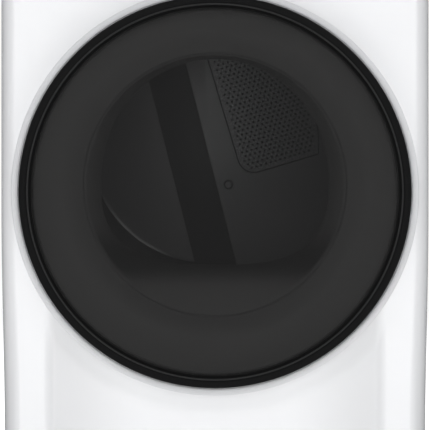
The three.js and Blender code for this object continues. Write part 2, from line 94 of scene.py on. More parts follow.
# the floor glows a little, as a lit white sweep does, so that it fades into the background
bpy.ops.mesh.primitive_plane_add(size=14, location=(0, 1, 0))
floor = bpy.context.object
floor.name = "floor"
floor.visible_glossy = False
floor_paint = bpy.data.materials.new("pale_floor")
floor_paint.use_nodes = True
tree = floor_paint.node_tree
shader = tree.nodes["Principled BSDF"]
shader.inputs["Base Color"].default_value = (0.8, 0.8, 0.79, 1)
shader.inputs["Roughness"].default_value = 0.7
shader.inputs["Emission Color"].default_value = (1, 1, 1, 1)
ray = tree.nodes.new("ShaderNodeLightPath")
glow = tree.nodes.new("ShaderNodeMapRange")
glow.inputs["To Min"].default_value = 0.17
glow.inputs["To Max"].default_value = 0.85
tree.links.new(ray.outputs["Is Camera Ray"], glow.inputs["Value"])
tree.links.new(glow.outputs[0], shader.inputs["Emission Strength"])
floor.data.materials.append(floor_paint)


# Front panel ----------------------------------------------------------------
# One pressed steel sheet, enamelled white. Its upright edges roll back round the cabinet,
# it draws in a little towards the floor, and a wide shallow channel runs down from the door.

def deselect():
    if bpy.context.object and bpy.context.object.mode != "OBJECT":
        bpy.ops.object.mode_set(mode="OBJECT")
    bpy.ops.object.select_all(action="DESELECT")


def take(piece):
    deselect()
    piece.select_set(True)
    bpy.context.view_layer.objects.active = piece


def edit(piece, select=True):
    take(piece)
    bpy.ops.object.mode_set(mode="EDIT")
    bpy.ops.mesh.select_all(action="SELECT" if select else "DESELECT")


def done():
    bpy.ops.object.mode_set(mode="OBJECT")


def turn_faces_over(piece):
    edit(piece)
    bpy.ops.mesh.flip_normals()
    done()


def apply_modifier(piece, kind, **settings):
    take(piece)
    modifier = piece.modifiers.new(kind.lower(), kind)
    for key, value in settings.items():
        setattr(modifier, key, value)
    bpy.ops.object.modifier_apply(modifier=modifier.name)


def drop(piece):
    take(piece)
    bpy.ops.object.delete()


def cut_away(piece, *tools):
    for tool in tools:
        apply_modifier(piece, "BOOLEAN", operation="DIFFERENCE", solver="EXACT", object=tool)
        drop(tool)


def drill(x, y, z, radius, length, sides=48):
    """A round cutter that lies front to back."""
    deselect()
    bpy.ops.mesh.primitive_cylinder_add(vertices=sides, radius=radius, depth=length, location=(x, y, z),
                                        rotation=(math.pi / 2, 0, 0))
    return bpy.context.object


def fit(piece, material, body, slot, *stands_for, angle=35):
    """Smooth a finished piece, paint it and hang it on the body it moves with."""
    take(piece)
    bpy.ops.object.shade_smooth_by_angle(angle=math.radians(angle))
    piece.data.materials.clear()
    piece.data.materials.append(material)
    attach(piece, body)
    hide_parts(*stands_for)


def finish(name, colour, roughness, metal=0.0, grain=300.0, depth=0.02, tint=0.06, spread=0.06,
           stretch=(1, 1, 1), coat=0.0):
    """A finish with faint cloudiness of colour, uneven gloss and a fine surface grain."""
    made = bpy.data.materials.new(name)
    made.use_nodes = True
    n = made.node_tree.nodes
    link = made.node_tree.links.new
    shader = n["Principled BSDF"]
    shader.inputs["Metallic"].default_value = metal
    shader.inputs["Coat Weight"].default_value = coat
    shader.inputs["Coat Roughness"].default_value = 0.06
    place = n.new("ShaderNodeTexCoord")
    mapping = n.new("ShaderNodeMapping")
    mapping.inputs["Scale"].default_value = stretch
    cloud = n.new("ShaderNodeTexNoise")
    cloud.inputs["Scale"].default_value = 7
    cloud.inputs["Detail"].default_value = 4
    fine = n.new("ShaderNodeTexNoise")
    fine.inputs["Scale"].default_value = grain
    fine.inputs["Detail"].default_value = 3
    shade = n.new("ShaderNodeMapRange")
    shade.inputs["To Min"].default_value = 1 - tint
    shade.inputs["To Max"].default_value = 1 + tint
    both = n.new("ShaderNodeMix")
    both.data_type = "RGBA"
    both.blend_type = "MULTIPLY"
    both.inputs[0].default_value = 1
    both.inputs[6].default_value = (*colour, 1)
    gloss = n.new("ShaderNodeMapRange")
    gloss.inputs["To Min"].default_value = max(0.02, roughness - spread)
    gloss.inputs["To Max"].default_value = min(1, roughness + spread)
    bump = n.new("ShaderNodeBump")
    bump.inputs["Strength"].default_value = depth
    bump.inputs["Distance"].default_value = 0.001
    link(place.outputs["Object"], mapping.inputs["Vector"])
    link(mapping.outputs["Vector"], fine.inputs["Vector"])
    link(place.outputs["Object"], cloud.inputs["Vector"])
    link(cloud.outputs[0], shade.inputs["Value"])
    link(shade.outputs[0], both.inputs[7])
    link(both.outputs[2], shader.inputs["Base Color"])
    link(fine.outputs[0], gloss.inputs["Value"])
    link(gloss.outputs[0], shader.inputs["Roughness"])
    link(fine.outputs[0], bump.inputs["Height"])
    link(bump.outputs[0], shader.inputs["Normal"])
    return made


def places_on(material):
    """The X, Y and Z of a point on the piece, for a finish that changes from place to place."""
    tree = material.node_tree
    place = tree.nodes.new("ShaderNodeTexCoord")
    parts = tree.nodes.new("ShaderNodeSeparateXYZ")
    tree.links.new(place.outputs["Object"], parts.inputs[0])
    return parts.outputs


def fade(material, value, low, high, to_low=0.0, to_high=1.0):
    step = material.node_tree.nodes.new("ShaderNodeMapRange")
    step.interpolation_type = "SMOOTHSTEP"
    step.inputs["From Min"].default_value = low
    step.inputs["From Max"].default_value = high
    step.inputs["To Min"].default_value = to_low
    step.inputs["To Max"].default_value = to_high
    material.node_tree.links.new(value, step.inputs["Value"])
    return step.outputs[0]


def reckon(material, operation, *values):
    step = material.node_tree.nodes.new("ShaderNodeMath")
    step.operation = operation
    for socket, value in zip(step.inputs, values):
        if isinstance(value, (int, float)):
            socket.default_value = value
        else:
            material.node_tree.links.new(value, socket)
    return step.outputs[0]


def darken(material, share):
    """Take this share off the finish's own colour."""
    tree = material.node_tree
    shader = tree.nodes["Principled BSDF"]
    colour = shader.inputs["Base Color"].links[0].from_socket
    darker = tree.nodes.new("ShaderNodeMix")
    darker.data_type = "RGBA"
    darker.blend_type = "MULTIPLY"
    darker.inputs[0].default_value = 1
    tree.links.new(colour, darker.inputs[6])
    tree.links.new(reckon(material, "SUBTRACT", 1, share), darker.inputs[7])
    tree.links.new(darker.outputs[2], shader.inputs["Base Color"])


cabinet_half = 0.3555
panel_front, panel_back = -0.345, -0.300
panel_low, panel_high = 0.028, 0.906
panel_corner = 0.023
crease = math.radians(31)
roll = panel_corner / (1 - math.sin(crease))
sheet_steel = 0.0012
door_z, door_hole = 0.560, 0.336
enamel_white = (0.86, 0.862, 0.875)

# painted shade: the enamel's colour is greyed along the sides of the channel and low down on the rolled
# edges, standing in for the shade that falls there
enamel_gloss = {"grain": 900, "depth": 0.015, "tint": 0.008, "spread": 0.03, "coat": 0.35}
front_enamel = finish("front_enamel", enamel_white, 0.22, **enamel_gloss)
at = places_on(front_enamel)
wide = reckon(front_enamel, "ABSOLUTE", at["X"])
# painted shade along the sides of the channel, strongest low down
beside = reckon(front_enamel, "MULTIPLY", fade(front_enamel, wide, 0.110, 0.262),
                fade(front_enamel, wide, 0.262, 0.284, 1, 0))
beside = reckon(front_enamel, "MULTIPLY", beside, fade(front_enamel, at["Z"], 0.30, 0.50, 1, 0))
# painted shade on the rolled edges, strongest near the floor
rolled_edge_painted_shade = reckon(front_enamel, "MULTIPLY", fade(front_enamel, wide, 0.325, 0.336),
              fade(front_enamel, at["Z"], 0.12, 0.48, 1, 0))
darken(front_enamel, reckon(front_enamel, "ADD", reckon(front_enamel, "MULTIPLY", beside, 0.16),
                            reckon(front_enamel, "MULTIPLY", rolled_edge_painted_shade, 0.13)))


def rolled(s):
    """Where a point at distance s across the flat sheet ends once its edges are rolled back."""
    flat = cabinet_half - panel_corner
    side = 1 if s >= 0 else -1
    past = abs(s) - flat
    if past <= 0:
        return s, panel_front
    turn = crease + past / roll
    if turn < math.pi / 2:
        return (side * (flat + roll * (math.sin(turn) - math.sin(crease))),
                panel_front + roll * (math.cos(crease) - math.cos(turn)))
    return side * cabinet_half, panel_front + roll * math.cos(crease) + past - roll * (math.pi / 2 - crease)


def ease(t):
    t = min(1, max(0, t))
    return t * t * (3 - 2 * t)


def towards_floor(z):
    return ease((0.53 - z) / 0.40)


draw_in, edge_draw_in = 0.0058, 0.0050
channel_deep, channel_dish, channel_half = 0.008, 0.002, 0.284
door_lift, lift_band = 0.0052, 0.044
arc_length = roll * (math.pi / 2 - crease)
sheet_half = cabinet_half - panel_corner + arc_length + (panel_back - panel_front - roll * math.cos(crease))
deselect()
bpy.ops.mesh.primitive_grid_add(x_subdivisions=300, y_subdivisions=190, size=1)
front = bpy.context.object
front.name = "front_sheet"
for vertex in front.data.vertices:
    z = panel_low + (vertex.co.y + 0.5) * (panel_high - panel_low)
    x, y = rolled(vertex.co.x * 2 * sheet_half)
    x -= math.copysign(draw_in * towards_floor(z), x) * min(1, abs(x) / 0.3)
    on_edge = ease((abs(x) - 0.30) / 0.024) * ease((0.3500 - abs(x)) / 0.022)
    x -= math.copysign(edge_draw_in * towards_floor(z), x) * on_edge
    from_centre = math.hypot(x, z - door_z)
    from_rim = from_centre - door_hole
    across = ease((channel_half - abs(x)) / 0.018)
    dish = max(0, 1 - (x / 0.27) ** 2)
    down = ease((door_z - z) / 0.12) * ease(from_rim / 0.034) * ease((z - 0.045) / 0.10)
    y += (channel_deep * across + channel_dish * dish) * down
    upright = abs(z - door_z) / from_centre
    y -= door_lift * ease((lift_band - from_rim) / lift_band) * ease((upright - 0.45) / 0.4)
    vertex.co = (x, y, z)
edit(front)
bpy.ops.mesh.normals_make_consistent(inside=False)
done()
if front.data.polygons[len(front.data.polygons) // 2].normal.y > 0:
    turn_faces_over(front)
apply_modifier(front, "SOLIDIFY", thickness=sheet_steel, offset=-1)
cut_away(front, drill(0, -0.33, door_z, door_hole, 0.2, 192))
fit(front, front_enamel, "cabinet", "white_enamel", "front_panel", angle=40)


# Side, top and rear sheets and the base pan -----------------------------------
# The wrap of the cabinet: enamelled sides and lid, zinc-coated rear sheet and floor pan,
# folded at their edges and screwed together.

def merge(piece):
    edit(piece)
    bpy.ops.mesh.remove_doubles(threshold=1e-6)
    bpy.ops.mesh.normals_make_consistent(inside=False)
    done()


def join(piece, *others):
    take(piece)
    for other in others:
        other.select_set(True)
    bpy.ops.object.join()


def block(name, low, high, bevel=0.0, segments=2):
    """A box between two corners, its edges rounded by bevel."""
    deselect()
    centre = [(a + b) / 2 for a, b in zip(low, high)]
    size = [b - a for a, b in zip(low, high)]
    bpy.ops.mesh.primitive_cube_add(size=1, location=centre, scale=size)
    piece = bpy.context.object
    piece.name = name
    bpy.ops.object.transform_apply(location=True, rotation=True, scale=True)
    if bevel:
        edit(piece)
        bpy.ops.mesh.bevel(offset=bevel, segments=segments, affect="EDGES")
        done()
    return piece


white_enamel = finish("white_enamel", enamel_white, 0.22, **enamel_gloss)
side_low, side_high = 0.028, 0.9855
side_x, side_front, side_depth = 0.3535, -0.318, 0.6896
bead_deep = 0.0025
for side, name in ((-1, "left_side_panel"), (1, "right_side_panel")):
    deselect()
    bpy.ops.mesh.primitive_grid_add(x_subdivisions=140, y_subdivisions=120, size=1)
    sheet = bpy.context.object
    sheet.name = name + "_sheet"
    for vertex in sheet.data.vertices:
        y = side_front + (vertex.co.x + 0.5) * side_depth
        z = side_low + (vertex.co.y + 0.5) * (side_high - side_low)
        lean = 0.0062 * towards_floor(z) * ease((0.10 - y) / 0.35)
        between = ease((0.84 - z) / 0.02) * ease((z - 0.16) / 0.02)
        across = sum(ease((0.014 - abs(y - middle)) / 0.010) for middle in (-0.17, 0.03, 0.23))
        vertex.co = (side * (side_x - lean - bead_deep * across * between), y, z)
    merge(sheet)
    if sheet.data.polygons[0].normal.x * side < 0:
        turn_faces_over(sheet)
    apply_modifier(sheet, "SOLIDIFY", thickness=sheet_steel, offset=-1)
    inner, outer = sorted((side * 0.3523, side * 0.340))
    join(sheet, block("fold", (inner, 0.3703, side_low), (outer, 0.3716, side_high)))
    fit(sheet, white_enamel, "cabinet", "white_enamel", name)

lid_low, lid_high = 0.986, 1.010
lid = block("lid_sheet", (-cabinet_half, -0.352, lid_low), (cabinet_half, 0.374, lid_high))
edit(lid, False)
bpy.ops.mesh.select_mode(type="EDGE")
done()
for edge in lid.data.edges:
    a, b = (lid.data.vertices[i].co for i in edge.vertices)
    edge.select = abs(a.z - b.z) > 0.01
bpy.ops.object.mode_set(mode="EDIT")
bpy.ops.mesh.bevel(offset=0.014, segments=8, affect="EDGES")
done()
edit(lid, False)
done()
for face in lid.data.polygons:
    face.select = face.normal.z > 0.9
bpy.ops.object.mode_set(mode="EDIT")
bpy.ops.mesh.select_mode(type="FACE")
bpy.ops.mesh.bevel(offset=0.006, segments=4, affect="EDGES")
done()
cut_away(lid, block("hollow", (-0.3535, -0.350, 0.980), (0.3535, 0.372, 1.0085)))
fit(lid, white_enamel, "cabinet", "white_enamel", "top_panel")

# the zinc coat has grown in large flat crystals, each with a gloss of its own
zinc = finish("zinc_coated", (0.58, 0.6, 0.62), 0.42, metal=0.85, grain=160, depth=0.03, tint=0.05,
              spread=0.1)
tree = zinc.node_tree
place = tree.nodes.new("ShaderNodeTexCoord")
flakes = tree.nodes.new("ShaderNodeTexVoronoi")
flakes.inputs["Scale"].default_value = 70
gloss = tree.nodes.new("ShaderNodeMapRange")
gloss.inputs["To Min"].default_value = 0.30
gloss.inputs["To Max"].default_value = 0.55
tree.links.new(place.outputs["Object"], flakes.inputs["Vector"])
tree.links.new(flakes.outputs["Color"], gloss.inputs["Value"])
tree.links.new(gloss.outputs[0], tree.nodes["Principled BSDF"].inputs["Roughness"])


def turned(name, section, x=0.0, z=0.0, steps=128):
    """A ring or disc spun from a closed section of (radius, y) points round a front-to-back axis."""
    deselect()
    bpy.ops.mesh.primitive_circle_add(vertices=len(section), radius=0.01)
    piece = bpy.context.object
    piece.name = name
    for vertex, (r, y) in zip(piece.data.vertices, section):
        vertex.co = (x + r, y, z)
    edit(piece)
    bpy.ops.mesh.spin(steps=steps, angle=2 * math.pi, center=(x, 0, z), axis=(0, 1, 0))
    bpy.ops.mesh.select_all(action="SELECT")
    bpy.ops.mesh.remove_doubles(threshold=1e-6)
    bpy.ops.mesh.normals_make_consistent(inside=False)
    done()
    return piece


rear_y = 0.373
exhaust = (0, 0.102, 0.0524)
cable_inlet = (-0.29, 0.9, 0.0140)
rear = block("rear_sheet", (-0.3535, 0.372, side_low), (0.3535, 0.3735, side_high))
tools = [drill(exhaust[0], rear_y, exhaust[1], exhaust[2], 0.05, 64),
         drill(cable_inlet[0], rear_y, cable_inlet[1], cable_inlet[2], 0.05, 32)]
for row in range(5):
    for column in (-1, 1):
        x, z = column * 0.2, 0.30 + row * 0.022
        tools.append(block("slot", (x - 0.05, 0.36, z), (x + 0.05, 0.39, z + 0.008)))
cut_away(rear, *tools)
for x, z, r in (exhaust, cable_inlet):
    section = [(r, 0.3703), (r + 0.0034, 0.3703), (r + 0.0034, 0.3749), (r + 0.0028, 0.3755), (r, 0.3755)]
    join(rear, turned("raised_rim", section, x, z, 64))
fit(rear, zinc, "cabinet", "galvanised", "rear_panel")

foot_x, foot_front, foot_rear = 0.3, -0.29, 0.32
pan = block("floor_pan", (-0.338, -0.325, 0.0253), (0.338, 0.369, 0.046), 0.003, 3)
tools = [block("pan_hollow", (-0.336, -0.323, 0.0273), (0.336, 0.367, 0.06), 0.002, 2)]
for x in (-foot_x, foot_x):
    for y in (foot_front, foot_rear):
        deselect()
        bpy.ops.mesh.primitive_cylinder_add(vertices=24, radius=0.007, depth=0.03, location=(x, y, 0.025))
        tools.append(bpy.context.object)
cut_away(pan, *tools)
fit(pan, zinc, "cabinet", "galvanised", "base_pan")


# Levelling feet -----------------------------------------------------------------
# Black rubber pads moulded on the round heads of studs that screw up into the base pan.

foot_rubber = finish("foot_rubber", (0.03, 0.03, 0.032), 0.8, grain=700, depth=0.25)
section = [(0, 0), (0.0185, 0), (0.0205, 0.0015), (0.0218, 0.004), (0.0218, 0.0095), (0.0195, 0.0125),
           (0.0118, 0.013), (0.0115, 0.0200), (0.0049, 0.0202), (0.0048, 0.058), (0, 0.058)]
for name, x, y, body in (("foot_front_left", -foot_x, foot_front, "foot_fl"),
                         ("foot_front_right", foot_x, foot_front, "foot_fr"),
                         ("foot_rear_left", -foot_x, foot_rear, "foot_rl"),
                         ("foot_rear_right", foot_x, foot_rear, "foot_rr")):
    deselect()
    bpy.ops.mesh.primitive_circle_add(vertices=len(section), radius=0.01)
    foot = bpy.context.object
    foot.name = name + "_pad"
    for vertex, (r, z) in zip(foot.data.vertices, section):
        vertex.co = (x + r, y, z)
    edit(foot)
    bpy.ops.mesh.spin(steps=36, angle=2 * math.pi, center=(x, y, 0), axis=(0, 0, 1))
    done()
    merge(foot)
    fit(foot, foot_rubber, body, "foot_rubber", name)


# Control console ------------------------------------------------------------------
# A moulded white fascia with a dark display window, round push buttons and a turning knob.
# The circuit board behind the window keeps its plain shape and is painted green.

def paint(material, *names):
    for name in names:
        nodes[name].data.materials.clear()
        nodes[name].data.materials.append(material)


white_plastic = finish("white_plastic", (0.84, 0.845, 0.86), 0.32, grain=1200, depth=0.03, tint=0.01)
satin_metallic = finish("satin_metallic", (0.55, 0.56, 0.58), 0.3, metal=0.9, grain=500, depth=0.05,
                        stretch=(1, 1, 12))
key_plastic = finish("key_plastic", (0.66, 0.67, 0.69), 0.4, grain=900, depth=0.05, tint=0.02)
display_black = finish("display_black", (0.01, 0.011, 0.013), 0.08, grain=200, depth=0.004, spread=0.02)
circuit_green = finish("circuit_green", (0.02, 0.13, 0.05), 0.5, grain=250, depth=0.2, tint=0.2)

key_z = 0.946
power_x, option_x, start_x = -0.3, (0.235, 0.275), 0.315
console_low, console_high = 0.9065, 0.9855
fascia = block("fascia", (-0.355, -0.352, console_low), (0.355, -0.3005, console_high), 0.0035, 4)
tools = [block("hollow", (-0.3515, -0.349, console_low + 0.003), (0.3515, -0.29, console_high - 0.003)),
         block("side_clear", (-0.36, -0.321, 0.90), (-0.3517, -0.29, 0.98)),
         block("side_clear", (0.3517, -0.321, 0.90), (0.36, -0.29, 0.98)),
         block("under_clear", (-0.36, -0.342, 0.90), (0.36, -0.29, console_low + 0.0032)),
         block("window_cut", (0.088, -0.36, 0.923), (0.202, -0.34, 0.969), 0.002, 3),
         drill(0, -0.35, key_z, 0.009, 0.04)]
for x in (power_x, *option_x, start_x):
    tools.append(drill(x, -0.35, key_z, 0.0115, 0.04))
cut_away(fascia, *tools)
fit(fascia, white_plastic, "cabinet", "white_plastic", "control_console")

display = block("display_glass", (0.0884, -0.3516, 0.9234), (0.2016, -0.3494, 0.9686), 0.0009, 2)
fit(display, display_black, "cabinet", "display_black", "display_window")
paint(circuit_green, "control_board")

section = [(0, -0.3541), (0.007, -0.3543), (0.0092, -0.3549), (0.0104, -0.3545), (0.0109, -0.3535),
           (0.0109, -0.3487), (0.0134, -0.3487), (0.0134, -0.3467), (0.004, -0.3467), (0.004, -0.3367),
           (0, -0.3367)]
for name, x, body in (("power_button", power_x, "power_key"),
                      ("option_button_1", option_x[0], "option_key_1"),
                      ("option_button_2", option_x[1], "option_key_2"),
                      ("start_button", start_x, "start_key")):
    key = turned(name + "_cap", section, x, key_z, 48)
    fit(key, key_plastic, body, "button_plastic", name)

section = [(0, -0.3745), (0.014, -0.375), (0.0195, -0.3757), (0.0215, -0.3755), (0.0228, -0.3738),
           (0.0247, -0.358), (0.0254, -0.3555), (0.0269, -0.3538), (0.0269, -0.3525), (0.0086, -0.3525),
           (0.0086, -0.3412), (0, -0.3412)]
knob = turned("knob_body", section, 0, key_z, 96)
join(knob, block("ridge", (-0.0011, -0.3768, key_z + 0.005), (0.0011, -0.3735, key_z + 0.0195), 0.0005, 2))
fit(knob, satin_metallic, "knob", "knob_metallic", "cycle_knob")


# Door collar and well ---------------------------------------------------------------
# A satin ring lines the hole in the front panel; behind it the painted steel well slopes back
# to the throat, pierced for the door's strike and for the switch plunger.

collar_plastic = finish("collar_plastic", (0.74, 0.745, 0.76), 0.25, grain=900, depth=0.02, tint=0.01)
section = [(0.3252, -0.3495), (0.3260, -0.3510), (0.3285, -0.3519), (0.3320, -0.3518), (0.3347, -0.3513),
           (0.3359, -0.3506), (0.3363, -0.3496), (0.3363, -0.3438), (0.3355, -0.3436), (0.3355, -0.3402),
           (0.3252, -0.3402)]
collar = turned("collar_ring", section, 0, door_z, 192)
fit(collar, collar_plastic, "cabinet", "white_plastic", "door_collar")

plunger_off = 0.2164
well_paint = finish("well_paint", (0.80, 0.805, 0.82), 0.35, grain=600, depth=0.03, tint=0.015)
section = [(0.3256, -0.3450), (0.2935, -0.3450), (0.2905, -0.3443), (0.2880, -0.3420), (0.2530, -0.3018),
           (0.2518, -0.2996), (0.2532, -0.2996), (0.2895, -0.3412), (0.2922, -0.3436), (0.3256, -0.3436)]
well = turned("well_sheet", section, 0, door_z, 160)
cut_away(well, block("strike_hole", (-0.319, -0.350, door_z - 0.013), (-0.298, -0.340, door_z + 0.013)),
         drill(-plunger_off, -0.344, door_z - plunger_off, 0.0046, 0.02, 24))
fit(well, well_paint, "cabinet", "well_paint", "door_well")


# Door hinge, catch and switch ---------------------------------------------------------
# A cast bracket with two barrels on the well's rim, one steel pin, a sprung hook and a pressed-in switch.
# They keep their plain shapes, and so do the pieces deep in the cabinet made of the same stuff.

bright_steel = finish("bright_steel", (0.66, 0.66, 0.68), 0.28, metal=1.0, grain=350, depth=0.08,
                      stretch=(1, 1, 10))
dark_plastic = finish("dark_plastic", (0.045, 0.047, 0.05), 0.5, grain=800, depth=0.15)
paint(zinc, "hinge_bracket", "idler_arm", "motor_bracket", "exhaust_duct")
paint(bright_steel, "hinge_pin", "door_strike", "motor_shaft", "roller_axle_left", "roller_axle_right",
      "moisture_bar_front", "moisture_bar_rear")
paint(dark_plastic, "door_catch", "door_switch", "blower_housing", "lint_duct", "idler_wheel")
paint(white_plastic, "switch_plunger", "blower_wheel")


# Door ring --------------------------------------------------------------------------
# The gloss black rim of the door: a rounded outer band, a raised line, a dark groove and a slope
# to the cover. It is notched on the right for the hinge and bored for the pin.

gloss_black = finish("gloss_black", (0.006, 0.006, 0.006), 0.16, grain=500, depth=0.004, tint=0.02,
                     spread=0.03)
gloss_black.node_tree.nodes["Principled BSDF"].inputs["Specular IOR Level"].default_value = 0.30
hinge_x, hinge_y, notch_half = 0.309, -0.379, 0.060
section = [(0.3206, -0.3522), (0.3206, -0.4014), (0.3201, -0.4034), (0.3188, -0.4049), (0.3165, -0.4057),
           (0.3140, -0.4060), (0.3115, -0.4060), (0.3098, -0.4054), (0.3088, -0.4044), (0.3078, -0.4048),
           (0.3064, -0.4050), (0.3050, -0.4046), (0.3042, -0.4034), (0.3036, -0.4020), (0.3028, -0.4016),
           (0.3020, -0.4022), (0.3010, -0.4032), (0.3002, -0.4034), (0.3000, -0.4028), (0.3000, -0.3522)]
ring = turned("door_rim", section, 0, door_z, 224)
notch_low, notch_high = (0.302, -0.392, door_z - notch_half), (0.335, -0.345, door_z + notch_half)
deselect()
bpy.ops.mesh.primitive_cylinder_add(vertices=24, radius=0.0033, depth=0.152,
                                    location=(hinge_x, hinge_y, door_z))
pin_bore = bpy.context.object
cut_away(ring, block("notch", notch_low, notch_high), pin_bore)
fit(ring, gloss_black, "door", "gloss_black", "door_ring", angle=40)

# painted highlight: the raised line is a separate bead in a lighter grey than the gloss black rim, standing
# in for the light caught along its crest
bead_painted_highlight = finish("bead_painted_highlight", (0.022, 0.022, 0.022), 0.35, grain=500, depth=0.01, tint=0.03)
section = [(0.3046, -0.4040), (0.3050, -0.4052), (0.3058, -0.4058), (0.3068, -0.4058), (0.3076, -0.4052),
           (0.3080, -0.4040)]
bead = turned("rim_bead", section, 0, door_z, 192)
cut_away(bead, block("notch", notch_low, notch_high))
fit(bead, bead_painted_highlight, "door", "gloss_black", "door_ring", angle=40)


# Door cover --------------------------------------------------------------------------
# A flat disc of smoked glass with a ground edge, held in the rim.

def glass(name, colour, density, smear, roughest):
    made = bpy.data.materials.new(name)
    made.use_nodes = True
    tree = made.node_tree
    shader = tree.nodes["Principled BSDF"]
    shader.inputs["Base Color"].default_value = (*colour, 1)
    shader.inputs["Alpha"].default_value = density
    place = tree.nodes.new("ShaderNodeTexCoord")
    haze = tree.nodes.new("ShaderNodeTexNoise")
    haze.inputs["Scale"].default_value = smear
    gloss = tree.nodes.new("ShaderNodeMapRange")
    gloss.inputs["To Min"].default_value = 0.03
    gloss.inputs["To Max"].default_value = roughest
    tree.links.new(place.outputs["Object"], haze.inputs["Vector"])
    tree.links.new(haze.outputs[0], gloss.inputs["Value"])
    tree.links.new(gloss.outputs[0], shader.inputs["Roughness"])
    return made


smoked = glass("smoked_glass", (0.0165, 0.0163, 0.0160), 0.37, 5, 0.06)
cover_front, cover_back = -0.4019, -0.3981
section = [(0, cover_front), (0.2975, cover_front), (0.2990, -0.4014), (0.2995, -0.4004),
           (0.2995, cover_back), (0, cover_back)]
cover = turned("cover_disc", section, 0, door_z, 192)
fit(cover, smoked, "door", "smoked_cover", "door_cover", angle=30)


# Door liner --------------------------------------------------------------------------
# A dark moulding behind the cover: a flat flange that dips to a round seam, then a deep funnel
# that narrows to the flat-bottomed window. It holds the window pane and the rubber gasket.

liner_z, window_z = 0.5715, 0.583
window_half, window_rise, window_drop = 0.190, 0.198, 0.144
squareness = 2.9
mouth_radius, mouth_y, window_y = 0.2144, -0.3418, -0.2900


def window_point(angle, grow=0.0):
    """A point on the window's outline: round above its middle and squared off below."""
    c, s = math.cos(angle), math.sin(angle)
    power = 2 / squareness if s < 0 else 1
    rise = (window_drop if s < 0 else window_rise) + grow
    x = (window_half + grow) * math.copysign(abs(c) ** power, c)
    return x, window_z + rise * math.copysign(abs(s) ** power, s)


def round_point(angle, radius, centre_z):
    return radius * math.cos(angle), centre_z + radius * math.sin(angle)


deselect()
bpy.ops.mesh.primitive_circle_add(vertices=192, radius=0.2992, rotation=(math.pi / 2, 0, 0),
                                  location=(0, -0.3638, door_z))
liner = bpy.context.object
liner.name = "liner_moulding"
bpy.ops.object.transform_apply(location=True, rotation=True, scale=True)
angles = [math.atan2(vertex.co.z - door_z, vertex.co.x) for vertex in liner.data.vertices]
edit(liner)


def next_ring(points):
    bpy.ops.mesh.extrude_edges_move()
    bpy.ops.object.mode_set(mode="OBJECT")
    chosen = [v for v in liner.data.vertices if v.select]
    for vertex, place in zip(chosen, points):
        vertex.co = place
    bpy.ops.object.mode_set(mode="EDIT")


rings = [(0.2660, door_z + 0.006, -0.3638), (0.2570, door_z + 0.009, -0.3636), (0.2520, liner_z, -0.3628),
         (0.2460, liner_z, -0.3610), (0.2400, liner_z, -0.3583), (0.2340, liner_z, -0.3548),
         (0.2280, liner_z, -0.3506), (0.2225, liner_z, -0.3462), (0.2184, liner_z, -0.3428),
         (mouth_radius, liner_z, mouth_y)]
for radius, centre_z, y in rings:
    next_ring([(x, y, z) for x, z in (round_point(angle, radius, centre_z) for angle in angles)])
funnel_steps = 10
for i in range(1, funnel_steps + 1):
    t = i / funnel_steps
    inward = 1 - (1 - t) ** 1.3
    y = mouth_y + (window_y - mouth_y) * t ** 1.10
    row = []
    for angle in angles:
        mouth = round_point(angle, mouth_radius, liner_z)
        end = window_point(angle, 0.002)
        row.append((mouth[0] + (end[0] - mouth[0]) * inward, y, mouth[1] + (end[1] - mouth[1]) * inward))
    next_ring(row)
for y in (-0.2886, -0.2874):
    next_ring([(x, y, z) for x, z in (window_point(angle, 0.0006) for angle in angles)])
done()
apply_modifier(liner, "SOLIDIFY", thickness=0.0016, offset=-1)
merge(liner)

# painted shadow: the moulding's colour is darkened by up to three quarters at the window's lower edge, deep
# in the funnel, where a soft shadow falls
liner_plastic = finish("liner_plastic", (0.122, 0.121, 0.119), 0.55, grain=900, depth=0.008, tint=0.01)
at = places_on(liner_plastic)
sill_painted_shadow = reckon(liner_plastic, "MULTIPLY", fade(liner_plastic, at["Z"], 0.398, 0.437),
              fade(liner_plastic, at["Z"], 0.45, 0.52, 1, 0))
sill_painted_shadow = reckon(liner_plastic, "MULTIPLY", sill_painted_shadow, fade(liner_plastic, at["Y"], -0.345, -0.335))
darken(liner_plastic, reckon(liner_plastic, "MULTIPLY", sill_painted_shadow, 0.75))
fit(liner, liner_plastic, "door", "liner_plastic", "door_liner", angle=50)

trim_plastic = finish("trim_plastic", (0.078, 0.078, 0.078), 0.5, grain=900, depth=0.01, tint=0.02)
section = [(0.2154, -0.3420), (0.2158, -0.3446), (0.2180, -0.3452), (0.2186, -0.3426)]
trim = turned("mouth_trim", section, 0, liner_z, 160)
fit(trim, trim_plastic, "door", "liner_plastic", "door_liner")


def plate(name, corners, y0, y1, bevel=0.0, segments=2):
    """A flat piece of any outline in (x, z), between two depths."""
    deselect()
    bpy.ops.mesh.primitive_circle_add(vertices=len(corners), radius=0.01, fill_type="NGON")
    piece = bpy.context.object
    piece.name = name
    for vertex, (x, z) in zip(piece.data.vertices, corners):
        vertex.co = (x, y0, z)
    edit(piece)
    bpy.ops.mesh.extrude_region_move(TRANSFORM_OT_translate={"value": (0, y1 - y0, 0)})
    bpy.ops.mesh.select_all(action="SELECT")
    bpy.ops.mesh.normals_make_consistent(inside=False)
    done()
    if bevel:
        apply_modifier(piece, "BEVEL", width=bevel, segments=segments, limit_method="ANGLE", angle_limit=0.8)
    return piece


clear = glass("clear_glass", (0.02, 0.022, 0.022), 0.12, 9, 0.08)
pane = plate("window_pane", [window_point(i / 96 * 2 * math.pi) for i in range(96)], -0.2942, -0.2905)
fit(pane, clear, "door", "window_glass", "inner_window", angle=30)

